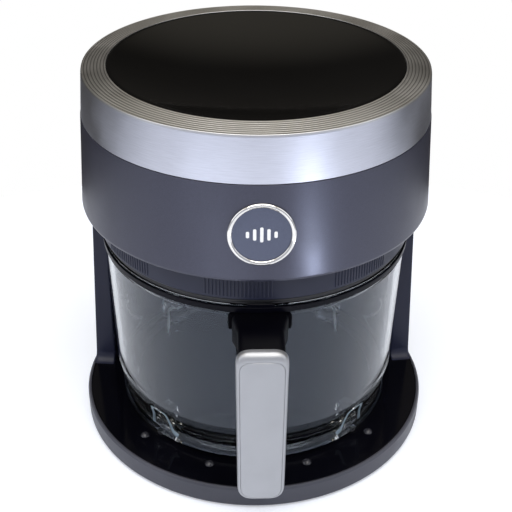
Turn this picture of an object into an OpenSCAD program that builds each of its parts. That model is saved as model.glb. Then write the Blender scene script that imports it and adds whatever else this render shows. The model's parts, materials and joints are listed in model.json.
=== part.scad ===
// Hot-air fryer with a glass bowl: a round head on a rear column, over a round base.
// Millimetres. +Z is up and the front faces -Y. The origin is the middle of the footprint,
// on the surface that the foot ring stands on.

/* [Base] */
// Radius of the base at its widest
base_r = 139.2; // [138:0.2:141]
// Height of the base's top rim
base_h = 18.6; // [17:0.2:20]
// Height that the foot ring holds the base clear of the table
foot_gap = 1.2; // [1:0.1:2]
// Distance of the locating studs from the middle
stud_ring_r = 117; // [115:0.5:119]

/* [Bowl] */
// Gap between the base and the underside of the bowl
bowl_gap = 2.7; // [2.6:0.1:3.2]
// Height of the glass bowl
bowl_h = 145.2; // [140:0.2:150]
// Outside radius of the glass where its straight wall starts
bowl_low_r = 112.3; // [111:0.1:113]
// Outside radius of the glass at its rim
bowl_rim_r = 116.4; // [115:0.1:116.8]
// Thickness of the glass wall
glass_t = 4; // [3.5:0.1:4.4]

/* [Handle] */
// Width of the grip
grip_w = 35.5; // [34:0.5:38]
// Distance of the grip's front face from the middle
grip_front = 166.5; // [164:0.5:170]
// Height of the grip's lower end above the table
grip_low = 35; // [32:1:40]

/* [Head] */
// Radius of the head's lower edge
head_low_r = 131.2; // [130.6:0.1:132]
// Radius of the head where the trim ring starts
head_top_r = 127.7; // [127.2:0.1:128.4]
// Height of the painted part of the head
head_h = 70.4; // [69:0.2:72]
// Height of the silver trim ring
ring_h = 33.6; // [33:0.2:34.4]
// Radius of the trim ring's upper edge
ring_r = 125; // [124.5:0.1:125.4]
// Radius of the control panel
panel_r = 106.9; // [106:0.1:107]
// Depth of the dish in the control panel
dish_depth = 15; // [10:0.5:15.5]
// Number of grip-rib groups round the collar
rib_groups = 8; // [6:1:9]

/* [Column] */
// Outside radius of the column at the base
column_low_r = 137.2; // [136.6:0.1:137.6]
// Outside radius of the column under the head
column_top_r = 129.9; // [129:0.1:130.5]
// Angle behind the middle at which the column's sides end
column_side = 9.4; // [8:0.2:12]

/* [Hidden] */
$fn = 96;

// Levels, from the table up
rim_top = base_h;
bowl_z = base_h + bowl_gap;
glass_rim = bowl_z + bowl_h;
flange_z = glass_rim + 2.1;
collar_z = flange_z + 3;
head_z = collar_z + 23.2;
seam_z = head_z + head_h;
ring_z = seam_z + 0.3;
ring_top = ring_z + ring_h;
floor_z = bowl_z + 5.7;
liner_top = head_z + 37.4;
motor_z = liner_top + 5.8;
board_z = liner_top + 11.8;

// Radii and walls
wall = 2.5;
column_in_r = 120.5;
collar_in_r = 114.6;
collar_r = 118.6;
neck_r = collar_in_r - 0.4;
panel_edge_r = panel_r + 0.5;
annulus_rise = 1.7;
shaft_r = 3;
grip_back = grip_front - 23.5;
cover_t = 1.5;
core_w = grip_w - 2 * cover_t;
cord_z = base_h + 20;
cord_bore_r = 4;
wire_r = 125.2;
wire_angle = 170;
switch_z = base_h + 100;
badge_z = (head_z + seam_z) / 2 + 0.5;
badge_r = 22.5;

stud_angles = [-48.4, -18.4, 18.4, 48.4];
coil_radii = [56, 70, 84];
coil_tube_r = 3.2;
arm_angles = [30, 150, 270];

// Colours
anthracite = "#4d4c53";
navy = "#26283a";
black = "#0b0b0d";
silver = "#c3c8d2";
steel = "#a9abad";

// Radius of the glass's outside at a height on its straight wall
function glass_r(z) = bowl_low_r + (bowl_rim_r - bowl_low_r)
    * (z - bowl_z - 26.7) / (bowl_h - 26.7);

// Radius of the column's outside at a height
function column_r(z) = column_low_r - (column_low_r - column_top_r)
    * (z - rim_top) / (head_z - rim_top);

// Radius of the painted head's outside at a height
function head_r(z) = head_low_r - (head_low_r - head_top_r)
    * (z - head_z - 1.8) / (head_h - 1.8);

// Points of an arc in a plane
function arc(centre, r, from, to, steps = 6) = [
    for (i = [0 : steps])
        let (a = from + (to - from) * i / steps)
        centre + r * [cos(a), sin(a)]
];

// A plain ring or tube standing on z
module tube(r_in, r_out, z, h) {
    rotate_extrude()
        translate([r_in, z])
            square([r_out - r_in, h]);
}

// A profile turned through part of a circle, from one angle to another
module sector(from, to, profile) {
    rotate([0, 0, from])
        rotate_extrude(angle = to - from)
            polygon(profile);
}

// A place on a circle round the middle, measured from the front
module at_angle(a, r, z = 0) {
    rotate([0, 0, a])
        translate([0, -r, z])
            children();
}

// A pan-head screw whose head stands on z and whose shank points down
module screw(shank_r, shank_l, head_r, head_h) {
    rotate_extrude()
        polygon([
            [0, -shank_l], [shank_r, -shank_l], [shank_r, 0], [head_r, 0],
            [head_r, head_h * 0.5], [head_r * 0.7, head_h], [0, head_h]
        ]);
}

// ---- Base ----

module base_shell() {
    ledge = base_h - 3.1;
    color(anthracite)
        rotate_extrude()
            polygon([
                [base_r - 1.6, foot_gap], [base_r - 0.2, foot_gap + 1.8],
                [base_r, base_h - 1.8], [base_r - 1.2, rim_top],
                [base_r - 2.7, rim_top], [base_r - 2.7, ledge],
                [base_r - 9, ledge], [base_r - 9, ledge - 2.5],
                [base_r - 3.6, ledge - 2.5], [base_r - 3.6, foot_gap]
            ]);
}

module base_bottom_plate() {
    color(black)
        difference() {
            translate([0, 0, foot_gap + 0.4])
                cylinder(r = base_r - 3.8, h = 2);
            tube(108.4, 111.6, foot_gap, 2.3);
            for (a = [0 : 90 : 270])
                at_angle(a, 124, 0)
                    cylinder(r = 1.7, h = 10);
        }
}

module base_deck() {
    color(black)
        difference() {
            translate([0, 0, base_h - 3.1])
                cylinder(r = base_r - 2.9, h = 3.1);
            at_angle(wire_angle, wire_r, base_h - 4)
                cylinder(r = 2.3, h = 10);
        }
    // Screw posts under the deck
    color(black)
        for (a = [0 : 90 : 270])
            at_angle(a, 124, foot_gap + 2.4)
                tube(1.6, 4, 0, base_h - 3.1 - foot_gap - 2.4);
}

module foot_ring() {
    color("#1c1c1e")
        rotate_extrude()
            polygon([
                [105, 0], [115, 0], [116, 0.6], [116, foot_gap + 0.4],
                [111.5, foot_gap + 0.4], [111.5, foot_gap + 2.2],
                [108.5, foot_gap + 2.2], [108.5, foot_gap + 0.4],
                [104, foot_gap + 0.4], [104, 0.6]
            ]);
}

// Low domes that stand flush on the deck
module locating_studs() {
    dome_r = 3.9;
    sunk = 1.6;
    color("#3a3a44")
        for (a = stud_angles)
            at_angle(a, stud_ring_r, rim_top)
                rotate_extrude()
                    polygon(concat([[0, 0]], arc([0, -sunk], dome_r, asin(sunk / dome_r), 90, 5)));
}

module bowl_rest_pads() {
    color("#2a2a2e")
        for (a = [45 : 90 : 315])
            at_angle(a, 104, rim_top)
                rotate_extrude()
                    polygon([
                        [0, 0], [4.4, 0], [4.4, bowl_gap - 0.7],
                        [4, bowl_gap - 0.3], [0, bowl_gap - 0.3]
                    ]);
}

module base_screws() {
    color(steel)
        for (a = [0 : 90 : 270])
            at_angle(a, 124, foot_gap + 0.4)
                rotate([180, 0, 0])
                    screw(1.5, 9, 3, 0.9);
}

// ---- Column ----

// The column's profile between two inside offsets from its outer face
module column_outer(from, to, t) {
    sector(from, to, [
        [column_r(rim_top) - t, rim_top], [column_r(rim_top), rim_top],
        [column_r(head_z), head_z], [column_r(head_z) - t, head_z]
    ]);
}

// The concave blend between a column side and the base. Its two thin edges keep a small
// thickness, and it starts inside the column's side.
module column_foot_blend(mirrored) {
    blend_r = 8;
    edge = 0.3;
    root = 0.6;
    outline = concat(
        [[-root, 0], [blend_r, 0]],
        arc([blend_r, blend_r], blend_r - edge, 270, 180),
        [[edge, blend_r], [-root, blend_r]]
    );
    mirror([mirrored ? 1 : 0, 0, 0])
        intersection() {
            rotate([0, 0, column_side])
                translate([column_in_r + 0.6, 0, rim_top])
                    rotate([90, 0, 90])
                        linear_extrude(height = 30)
                            mirror([1, 0])
                                polygon(outline);
            cylinder(r = column_r(rim_top) - 1, h = 60);
        }
}

module column_front_cover() {
    side_t = 1.3;
    low = column_r(rim_top);
    top = column_r(head_z);
    color(navy)
        difference() {
            union() {
                sector(column_side, 180 - column_side, [
                    [column_in_r, rim_top], [low, rim_top],
                    [top, head_z], [column_in_r, head_z]
                ]);
                column_foot_blend(false);
                column_foot_blend(true);
            }
            sector(column_side + side_t, 180 - column_side - side_t, [
                [column_in_r + wall, rim_top - 1], [base_r + 5, rim_top - 1],
                [base_r + 5, head_z + 1], [column_in_r + wall, head_z + 1]
            ]);
            translate([0, column_in_r - 5, switch_z])
                rotate([-90, 0, 0])
                    cylinder(r = 2.6, h = 12);
        }
}

module column_rear_cover() {
    side_t = 1.35;
    color(navy)
        difference() {
            column_outer(column_side + side_t, 180 - column_side - side_t, wall);
            translate([0, column_low_r - 20, cord_z])
                rotate([-90, 0, 0])
                    cylinder(r = 8.05, h = 40);
        }
}

module cord_inlet() {
    rear = base_r;
    color("#17171a")
        translate([0, rear, cord_z])
            rotate([90, 0, 0])
                rotate_extrude()
                    polygon([
                        [cord_bore_r, 0], [7, 0], [8, 1], [8, 15], [cord_bore_r, 15]
                    ]);
}

module internal_wires() {
    color("#8a3a2c")
        at_angle(wire_angle, wire_r, cord_z + 9)
            cylinder(r = 1.6, h = head_z + 12 - cord_z - 9);
}

module bowl_switch() {
    color("#2d2d30")
        difference() {
            translate([-6, column_in_r + wall + 0.1, switch_z - 5])
                cube([12, 5, 10]);
            translate([0, column_in_r, switch_z])
                rotate([-90, 0, 0])
                    cylinder(r = 2.6, h = 7);
        }
}

module switch_plunger() {
    tip = glass_r(switch_z) + 0.6;
    color("#c9c5bb")
        translate([0, tip, switch_z])
            rotate([-90, 0, 0])
                rotate_extrude()
                    polygon([[0, 0], [1.4, 0], [2.2, 0.8], [2.2, 8.6], [0, 8.6]]);
}

// ---- Head ----

module head_shell() {
    color(anthracite)
        difference() {
            rotate_extrude()
                polygon([
                    [121.5, head_z], [head_low_r - 1.5, head_z],
                    [head_low_r, head_z + 1.8], [head_top_r, seam_z],
                    [head_top_r - 2.8, seam_z], [head_low_r - 2.8, head_z + 2.8],
                    [121.5, head_z + 2.8]
                ]);
            sector(66, 114, [
                [120, head_z + 16], [140, head_z + 16],
                [140, head_z + 56], [120, head_z + 56]
            ]);
            at_angle(wire_angle, wire_r, head_z - 5)
                cylinder(r = 2.3, h = 12);
            for (a = [45 : 90 : 315])
                at_angle(a, 124.4, head_z - 5)
                    cylinder(r = 1.3, h = 12);
            on_badge(9)
                cylinder(r = badge_r + 0.05, h = 20);
        }
}

module rear_air_grille() {
    low = head_z + 16.3;
    top = head_z + 55.7;
    slots = 8;
    pitch = (top - low - 5) / slots;
    color("#1d1d20")
        difference() {
            sector(66.2, 113.8, [
                [head_r(low) - 3, low], [head_r(low) - 0.4, low],
                [head_r(top) - 0.4, top], [head_r(top) - 3, top]
            ]);
            for (i = [0 : slots - 1])
                for (a = [68.5, 80.4, 92.3, 104.2])
                    sector(a, a + 7.4, [
                        [118, low + 3.5 + i * pitch], [136, low + 2 + i * pitch],
                        [136, low + 4.4 + i * pitch], [118, low + 5.9 + i * pitch]
                    ]);
        }
}

module head_screws() {
    color(steel)
        for (a = [45 : 90 : 315])
            at_angle(a, 124.4, head_z + 5.2)
                screw(1.2, 4.5, 2.6, 1.6);
}

// Height of the trim ring's upper face, which rises towards the middle
function annulus_z(r) = ring_top - 0.3 + annulus_rise * (ring_r - r) / (ring_r - panel_edge_r);

module trim_ring() {
    grooves = 6;
    pitch = 2.5;
    first_r = ring_r - 2;
    groove_points = [
        for (i = [0 : grooves - 1])
            for (p = [[0.75, 0], [0.25, -0.55], [-0.25, -0.55], [-0.75, 0]])
                let (r = first_r - i * pitch + p[0])
                [r, annulus_z(r) + p[1]]
    ];
    outer = [
        [head_top_r - 2.9, ring_z], [head_top_r - 0.3, ring_z],
        [ring_r + 0.35, ring_top - 2], [ring_r - 0.5, ring_top - 0.3]
    ];
    inner = [
        [panel_edge_r, annulus_z(panel_edge_r)], [panel_edge_r, ring_top - 4.5],
        [panel_edge_r - 2.8, ring_top - 4.5], [panel_edge_r - 2.8, ring_top - 6.3],
        [panel_edge_r + 2, ring_top - 6.3], [panel_edge_r + 2, ring_top - 2.4],
        [ring_r - 3, ring_top - 4.2]
    ];
    color(silver)
        rotate_extrude()
            polygon(concat(outer, groove_points, inner));
}

module panel_gasket() {
    color("#151517")
        tube(panel_edge_r - 2.6, panel_edge_r - 0.2, ring_top - 4.5, 1.3);
}

module control_panel() {
    edge_z = annulus_z(panel_edge_r) - 0.3;
    skin = 3;
    dish_r = panel_r - 2.4;
    ball_r = (dish_r * dish_r + dish_depth * dish_depth) / (2 * dish_depth);
    ball_z = edge_z - dish_depth + ball_r;
    color(black) {
        difference() {
            intersection() {
                translate([0, 0, edge_z - dish_depth - skin - 1])
                    cylinder(r = dish_r, h = dish_depth + skin + 1);
                translate([0, 0, ball_z])
                    sphere(r = ball_r + skin);
            }
            translate([0, 0, ball_z])
                sphere(r = ball_r);
        }
        tube(dish_r, panel_r, ring_top - 3.2, edge_z - ring_top + 3.2);
    }
}

module touch_board() {
    color("#174a2c")
        translate([0, 0, ring_top - dish_depth - 6.5])
            cylinder(r = 60, h = 1.6);
}

module display_module() {
    color("#101418")
        translate([-30, -11, ring_top - dish_depth - 4.9])
            cube([60, 22, 1.4]);
}

// ---- Badge: a plain ring and disc with a generic mark ----

// The badge lies square on the front of the head, which leans back a little
module on_badge(depth) {
    lean = atan((head_low_r - head_top_r) / (head_h - 1.8));
    translate([0, -head_r(badge_z), badge_z])
        rotate([90 - lean, 0, 0])
            translate([0, 0, -depth])
                children();
}

module badge_ring() {
    color("#d9dbe0")
        on_badge(4.6)
            rotate_extrude()
                polygon(concat(
                    [[badge_r - 3, 0], [badge_r, 0]],
                    arc([badge_r - 1.5, 4.9], 1.5, 0, 180, 8)
                ));
}

module badge_disc() {
    color(anthracite)
        on_badge(4.6)
            cylinder(r = badge_r - 3.05, h = 4.8);
}

// Five upright bars of rising and falling height
module badge_mark() {
    heights = [4.6, 8.2, 10.8, 8.2, 4.6];
    pitch = 4.6;
    bar_w = 2.2;
    color("#f2f2f4")
        on_badge(-0.2)
            for (i = [0 : len(heights) - 1])
                translate([(i - 2) * pitch - bar_w / 2, -heights[i] / 2, 0])
                    cube([bar_w, heights[i], 0.4]);
}

// ---- Heating chamber ----

module chamber_ring() {
    color("#141417")
        difference() {
            rotate_extrude()
                polygon([
                    [111, flange_z], [117, flange_z], [117, flange_z + 2.6],
                    [neck_r, flange_z + 2.6], [neck_r, head_z + 3],
                    [127, head_z + 3], [127, head_z + 5.2], [111, head_z + 5.2]
                ]);
            at_angle(wire_angle, wire_r, head_z)
                cylinder(r = 2.3, h = 12);
            for (a = [45 : 90 : 315])
                at_angle(a, 124.4, head_z)
                    cylinder(r = 1.3, h = 12);
        }
}

module rim_seal() {
    color("#33333a")
        tube(111.6, 115.4, flange_z - 1.5, 1.5);
}

// One group of upright grip ribs, drawn as a comb
module rib_group() {
    ribs = 19;
    pitch = 1.24;
    proud = 1.2;
    root_r = collar_r - 0.6;
    comb = [
        for (i = [0 : ribs - 1])
            for (p = [[-0.45, 0], [-0.3, proud], [0.3, proud], [0.45, 0]])
                let (a = (i - (ribs - 1) / 2 + p[0]) * pitch)
                (root_r + p[1]) * [sin(a), -cos(a)]
    ];
    back = [
        for (i = [4 : -1 : 0])
            let (a = (i - 2) * ribs * pitch / 4)
            (root_r - 1.6) * [sin(a), -cos(a)]
    ];
    translate([0, 0, collar_z + 3.4])
        linear_extrude(height = 14.6)
            polygon(concat(comb, back));
}

module knurled_collar() {
    first_group = -7.5;
    color("#2b2c38") {
        rotate_extrude()
            polygon([
                [collar_in_r, collar_z], [collar_r - 0.8, collar_z],
                [collar_r, collar_z + 1], [collar_r, head_z - 1.6],
                [collar_r - 1, head_z - 0.6], [collar_in_r, head_z - 0.6]
            ]);
        for (i = [0 : rib_groups - 1])
            rotate([0, 0, first_group + i * 360 / rib_groups])
                rib_group();
    }
}

module chamber_liner() {
    color(steel)
        difference() {
            rotate_extrude()
                polygon([
                    [109.2, flange_z + 0.4], [110.4, flange_z + 0.4],
                    [110.4, liner_top], [8, liner_top],
                    [8, liner_top - 1.2], [109.2, liner_top - 1.2]
                ]);
            for (a = [-12, 12])
                at_angle(a, coil_radii[2], liner_top - 5)
                    cylinder(r = 4.2, h = 10);
            at_angle(-78, 95, liner_top - 5)
                cylinder(r = 2.7, h = 10);
        }
}

module fan_guard() {
    wire = 1.2;
    guard_z = flange_z + 9;
    color(steel) {
        for (r = [18, 36, 54, 72, 90, 106])
            rotate_extrude()
                translate([r, guard_z])
                    circle(r = wire);
        for (a = [0 : 60 : 300])
            rotate([0, 0, a])
                translate([17, 0, guard_z + 1.6])
                    rotate([0, 90, 0])
                        cylinder(r = 1, h = 92.2);
    }
}

module heating_coil() {
    coil_z = head_z + 2;
    color("#4a4442") {
        for (r = coil_radii)
            rotate_extrude()
                translate([r, coil_z])
                    circle(r = coil_tube_r);
        for (a = [60, 240])
            rotate([0, 0, a])
                translate([coil_radii[0], 0, coil_z])
                    rotate([0, 90, 0])
                        cylinder(r = 2.6, h = coil_radii[2] - coil_radii[0]);
        for (a = [-12, 12])
            at_angle(a, coil_radii[2], coil_z)
                cylinder(r = 2.8, h = liner_top + 8 - coil_z);
    }
}

module coil_brackets() {
    bar_z = head_z - 3.1;
    color(steel)
        for (a = arm_angles)
            rotate([0, 0, a]) {
                translate([50, -3, bar_z])
                    cube([54, 6, 1.8]);
                translate([98, 0, bar_z + 1.8])
                    cylinder(r = 2.4, h = liner_top - 1.2 - bar_z - 1.8);
            }
}

module temperature_sensor() {
    color("#b8a070")
        at_angle(-78, 95, liner_top - 24)
            rotate_extrude()
                polygon([
                    [0, 0], [1.6, 0], [2.6, 1.4], [2.6, 24],
                    [5, 24], [5, 27], [0, 27]
                ]);
}

module thermal_cutout() {
    color("#6a5a50")
        translate([62, -58, liner_top])
            rotate_extrude()
                polygon([
                    [0, 0], [11, 0], [11, 1.2], [8, 1.2],
                    [8, 9], [4, 10], [0, 10]
                ]);
}

// ---- Fans and motor ----

module convection_fan() {
    fan_r = 72;
    plate_z = liner_top - 9;
    blades = 12;
    color(steel)
        difference() {
            union() {
                translate([0, 0, plate_z])
                    cylinder(r = fan_r, h = 1);
                translate([0, 0, plate_z - 14])
                    cylinder(r = 9, h = 14);
                for (i = [0 : blades - 1])
                    rotate([0, 0, i * 360 / blades])
                        translate([28, -0.6, plate_z - 15])
                            cube([42, 1.2, 15.2]);
            }
            translate([0, 0, plate_z - 20])
                cylinder(r = shaft_r, h = 40);
        }
}

module fan_nut() {
    color("#c2a24a")
        difference() {
            translate([0, 0, liner_top - 28.4])
                cylinder(r = 7, h = 5.4, $fn = 6);
            translate([0, 0, liner_top - 40])
                cylinder(r = shaft_r, h = 40);
        }
}

module motor_shaft() {
    color("#d0d2d4")
        translate([0, 0, liner_top - 30])
            cylinder(r = shaft_r, h = 73);
}

module motor_rotor() {
    color("#5a5a5e")
        tube(shaft_r, 20, motor_z + 7, 15);
}

module cooling_fan() {
    fan_z = motor_z + 31;
    blades = 7;
    color("#3c3c40")
        difference() {
            union() {
                translate([0, 0, fan_z])
                    cylinder(r = 9, h = 5);
                for (i = [0 : blades - 1])
                    rotate([0, 0, i * 360 / blades])
                        translate([6, 0, fan_z + 2.5])
                            rotate([24, 0, 0])
                                translate([0, -7, -0.6])
                                    cube([30, 14, 1.2]);
            }
            translate([0, 0, fan_z - 5])
                cylinder(r = shaft_r, h = 20);
        }
}

module motor_bracket() {
    color(steel)
        difference() {
            union() {
                translate([0, 0, motor_z - 2.4])
                    cylinder(r = 40, h = 2.4);
                for (a = arm_angles)
                    rotate([0, 0, a]) {
                        translate([0, -6, motor_z - 2.4])
                            cube([60, 12, 2.4]);
                        translate([56, 0, liner_top])
                            cylinder(r = 4, h = motor_z - 2.4 - liner_top);
                    }
            }
            translate([0, 0, motor_z - 10])
                cylinder(r = 10, h = 20);
            for (a = arm_angles)
                rotate([0, 0, a])
                    translate([36.8, 0, motor_z - 10])
                        cylinder(r = 1.6, h = 20);
        }
}

module motor_housing() {
    can_r = 33;
    color("#8f9296")
        rotate_extrude()
            polygon([
                [8, motor_z], [can_r + 7, motor_z], [can_r + 7, motor_z + 2],
                [can_r, motor_z + 2], [can_r, motor_z + 29], [8, motor_z + 29],
                [8, motor_z + 25], [can_r - 1, motor_z + 25],
                [can_r - 1, motor_z + 4], [8, motor_z + 4]
            ]);
}

module motor_stator() {
    color("#8c4a24")
        tube(20.8, 32, motor_z + 6, 17);
}

module motor_bearings() {
    color("#c8cacc")
        for (z = [motor_z, motor_z + 25])
            tube(shaft_r + 0.06, 8, z, 4);
}

module motor_screws() {
    color(steel)
        for (a = arm_angles)
            rotate([0, 0, a])
                translate([36.8, 0, motor_z - 2.4])
                    rotate([180, 0, 0])
                        screw(1.5, 2.4, 2.6, 1.6);
}

// ---- Power electronics ----

// The four corners of the power board
board_corners = [[-44, 66], [44, 66], [-44, 104], [44, 104]];

module board_standoffs() {
    color("#cfcabb")
        for (p = board_corners)
            translate([p[0], p[1], liner_top])
                cylinder(r = 3, h = board_z - liner_top);
}

module power_board() {
    color("#174a2c")
        translate([-50, 60, board_z])
            cube([100, 50, 1.6]);
}

module power_relay() {
    color("#1b3f78")
        translate([-40, 72, board_z + 1.6])
            cube([20, 16, 15]);
}

module power_capacitor() {
    color("#222226")
        translate([30, 92, board_z + 1.6])
            cylinder(r = 6, h = 18);
}

module power_transformer() {
    color("#a8842c")
        translate([-8, 70, board_z + 1.6])
            cube([26, 22, 18]);
}

// ---- Glass bowl ----

// One moulded lug in the bowl's heel, to one side of the front
module bowl_lug() {
    inner_end = 36.5;
    outer_end = 47;
    top = floor_z + 18.5;
    sector(270 + inner_end, 270 + outer_end, [
        [88, floor_z - 1], [106, floor_z + 4], [109, top], [93, top], [90, floor_z + 8]
    ]);
}

module glass_bowl() {
    heel = bowl_z + 26.7;
    color("#9fb4bc", 0.4)
        difference() {
            union() {
                rotate_extrude()
                    polygon([
                        [0, bowl_z + 1], [99, bowl_z + 1], [101, bowl_z],
                        [108.6, bowl_z], [109.4, bowl_z + 0.8], [109.4, bowl_z + 6],
                        [106.2, bowl_z + 7.6], [106.4, bowl_z + 11.4],
                        [108.2, bowl_z + 12.6], [109.2, bowl_z + 17],
                        [110.8, bowl_z + 19], [bowl_low_r, heel],
                        [bowl_rim_r, glass_rim - 1.4], [bowl_rim_r - 1, glass_rim],
                        [bowl_rim_r - glass_t + 0.8, glass_rim],
                        [bowl_rim_r - glass_t, glass_rim - 1.4],
                        [bowl_low_r - glass_t, heel], [106, floor_z + 13],
                        [102.4, floor_z + 6.4], [98, floor_z + 2.2],
                        [92, floor_z], [0, floor_z]
                    ]);
                for (side = [0, 1])
                    for (turn = [0, 180])
                        mirror([side, 0, 0])
                            rotate([0, 0, turn])
                                bowl_lug();
            }
            for (z = bracket_screw_z)
                translate([0, -100, z])
                    rotate([90, 0, 0])
                        cylinder(r = 2.6, h = 30);
        }
}

// ---- Handle ----

bracket_low = bowl_z + 99;
bracket_top = glass_rim - 6.2;
bracket_screw_z = [bracket_low + 10, bracket_top - 8.3];
neck_top = glass_rim - 5;

// Dark band round the rim of the bowl, with a raised tab over the handle
module rim_band() {
    low = bracket_top + 0.3;
    top = glass_rim - 1.4;
    tab_half = 4.9;
    tab_top = glass_rim + 1.4;
    gap = 0.1;
    thick = 1.4;
    step = 0.3;
    color("#15161c") {
        rotate_extrude()
            polygon([
                [glass_r(low) + gap, low], [glass_r(low) + gap + thick, low],
                [glass_r(top) + gap + thick, top], [glass_r(top) + gap, top]
            ]);
        sector(270 - tab_half, 270 + tab_half, [
            [glass_r(top) + gap + step, top - 1], [glass_r(top) + gap + thick - step, top - 1],
            [glass_r(top) + gap + thick - step, tab_top], [glass_r(top) + gap + step, tab_top]
        ]);
    }
}

module handle_bracket() {
    half = 9.2;
    color(black)
        difference() {
            sector(270 - half, 270 + half, [
                [glass_r(bracket_low) + 0.1, bracket_low],
                [glass_r(bracket_low) + 3, bracket_low],
                [glass_r(bracket_top) + 3, bracket_top],
                [glass_r(bracket_top) + 0.1, bracket_top]
            ]);
            for (z = bracket_screw_z)
                translate([0, -100, z])
                    rotate([90, 0, 0])
                        cylinder(r = 2.1, h = 30);
        }
}

module bracket_inner_pad() {
    half = 5.5;
    inner = -glass_t - 0.1;
    color("#2f2f33")
        difference() {
            sector(270 - half, 270 + half, [
                [glass_r(bracket_low) + inner - 1.6, bracket_low],
                [glass_r(bracket_low) + inner, bracket_low],
                [glass_r(bracket_top) + inner, bracket_top],
                [glass_r(bracket_top) + inner - 1.6, bracket_top]
            ]);
            for (z = bracket_screw_z)
                translate([0, -90, z])
                    rotate([90, 0, 0])
                        cylinder(r = 2.1, h = 30);
        }
}

module handle_screws() {
    color(steel)
        for (z = bracket_screw_z)
            translate([0, -glass_r(z) + glass_t + 1.9, z])
                rotate([-90, 0, 0])
                    screw(2, 16, 4, 1.6);
}

// Side outline of the handle's black core, as [distance to the front, height].
// It leaves the bracket, runs forward as the neck and turns down as the grip.
function core_outline(grow = 0) = let (
    top = neck_top + grow,
    front = grip_front - 3.5 + grow,
    back = grip_back - grow,
    low = grip_low + 3 - grow,
    under = bracket_low + 10 - grow
) concat(
    [[glass_r(bracket_top) + 3.1, top]],
    arc([front - 8, top - 8], 8, 90, 0),
    arc([front - 8, low + 6], 6, -20, -90),
    arc([back + 6, low + 6], 6, 270, 180),
    arc([back - 12, under - 12], 12, 0, 90),
    [[glass_r(bracket_low) + 4.2, under]]
);

// An outline in [distance, height] spread over a width, centred on the middle
module across(width) {
    translate([-width / 2, 0, 0])
        rotate([90, 0, 90])
            linear_extrude(height = width)
                mirror([1, 0])
                    children();
}

module handle_core() {
    color(black)
        difference() {
            across(core_w)
                polygon(core_outline());
            for (z = bracket_screw_z)
                translate([0, -110, z])
                    rotate([90, 0, 0])
                        cylinder(r = 2.05, h = 16.4);
        }
}

module grip_cover() {
    top = neck_top;
    side_back = grip_front - 8;
    color(silver)
        difference() {
            across(grip_w)
                polygon(concat(
                    [[side_back, top - 2]],
                    arc([grip_front - 7, top - 6], 7, 80, 0),
                    arc([grip_front - 6, grip_low + 5], 5, -10, -90),
                    [[side_back, grip_low]]
                ));
            across(core_w + 0.2)
                polygon(core_outline(0.1));
        }
}

base_shell();
base_bottom_plate();
base_deck();
foot_ring();
locating_studs();
bowl_rest_pads();
base_screws();
column_front_cover();
column_rear_cover();
cord_inlet();
internal_wires();
bowl_switch();
switch_plunger();
head_shell();
rear_air_grille();
head_screws();
trim_ring();
panel_gasket();
control_panel();
touch_board();
display_module();
badge_ring();
badge_disc();
badge_mark();
chamber_ring();
rim_seal();
knurled_collar();
chamber_liner();
fan_guard();
heating_coil();
coil_brackets();
temperature_sensor();
thermal_cutout();
convection_fan();
fan_nut();
motor_shaft();
motor_rotor();
cooling_fan();
motor_bracket();
motor_housing();
motor_stator();
motor_bearings();
motor_screws();
board_standoffs();
power_board();
power_relay();
power_capacitor();
power_transformer();
glass_bowl();
rim_band();
handle_bracket();
bracket_inner_pad();
handle_screws();
handle_core();
grip_cover();
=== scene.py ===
# Looks for a hot-air fryer with a glass bowl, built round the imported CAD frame.
# Metres, in the frame of the part: +Z up, the front faces -Y.
import json
import math

import bmesh
import bpy
from mathutils import Matrix, Vector


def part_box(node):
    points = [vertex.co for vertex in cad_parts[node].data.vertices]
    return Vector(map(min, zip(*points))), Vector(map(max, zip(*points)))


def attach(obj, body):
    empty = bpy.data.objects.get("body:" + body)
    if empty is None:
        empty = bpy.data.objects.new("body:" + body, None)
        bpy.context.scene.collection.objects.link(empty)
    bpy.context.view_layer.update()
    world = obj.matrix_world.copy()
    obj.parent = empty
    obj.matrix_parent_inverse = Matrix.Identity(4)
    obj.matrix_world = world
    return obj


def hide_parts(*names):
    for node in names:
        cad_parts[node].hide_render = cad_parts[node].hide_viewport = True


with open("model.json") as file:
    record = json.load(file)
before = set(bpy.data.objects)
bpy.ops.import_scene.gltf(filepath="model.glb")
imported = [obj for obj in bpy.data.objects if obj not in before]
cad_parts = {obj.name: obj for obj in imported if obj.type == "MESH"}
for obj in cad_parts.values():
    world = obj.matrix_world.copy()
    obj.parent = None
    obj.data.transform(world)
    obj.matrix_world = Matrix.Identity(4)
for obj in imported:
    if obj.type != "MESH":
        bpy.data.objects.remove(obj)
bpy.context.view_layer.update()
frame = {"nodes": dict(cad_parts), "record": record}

MM = 0.001
TURN = math.tau
ROUND_STEPS = 256
SHARP_ANGLE = math.radians(38)
# the sockets of a Mix node that mixes colours
MIX_FACTOR, MIX_A, MIX_B, MIX_RESULT = 0, 6, 7, 2

nodes = frame["nodes"]
node_slot = {row["node"]: row["material_slot"] for row in frame["record"]["subparts"]}


# ---------------------------------------------------------------- mesh tools

def fillet(corners, steps=4):
    """Rounds a closed outline. A corner is (x, y), or (x, y, radius) where it is rounded."""
    points = []
    for i, corner in enumerate(corners):
        here = Vector(corner[:2])
        if len(corner) < 3:
            points.append(here)
            continue
        back = Vector(corners[i - 1][:2]) - here
        ahead = Vector(corners[(i + 1) % len(corners)][:2]) - here
        reach = corner[2] / math.tan(back.angle(ahead) / 2)
        reach = min(reach, 0.48 * back.length, 0.48 * ahead.length)
        start = here + back.normalized() * reach
        end = here + ahead.normalized() * reach
        for k in range(steps + 1):
            t = k / steps
            points.append(start * (1 - t) ** 2 + here * 2 * t * (1 - t) + end * t * t)
    return points


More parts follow.
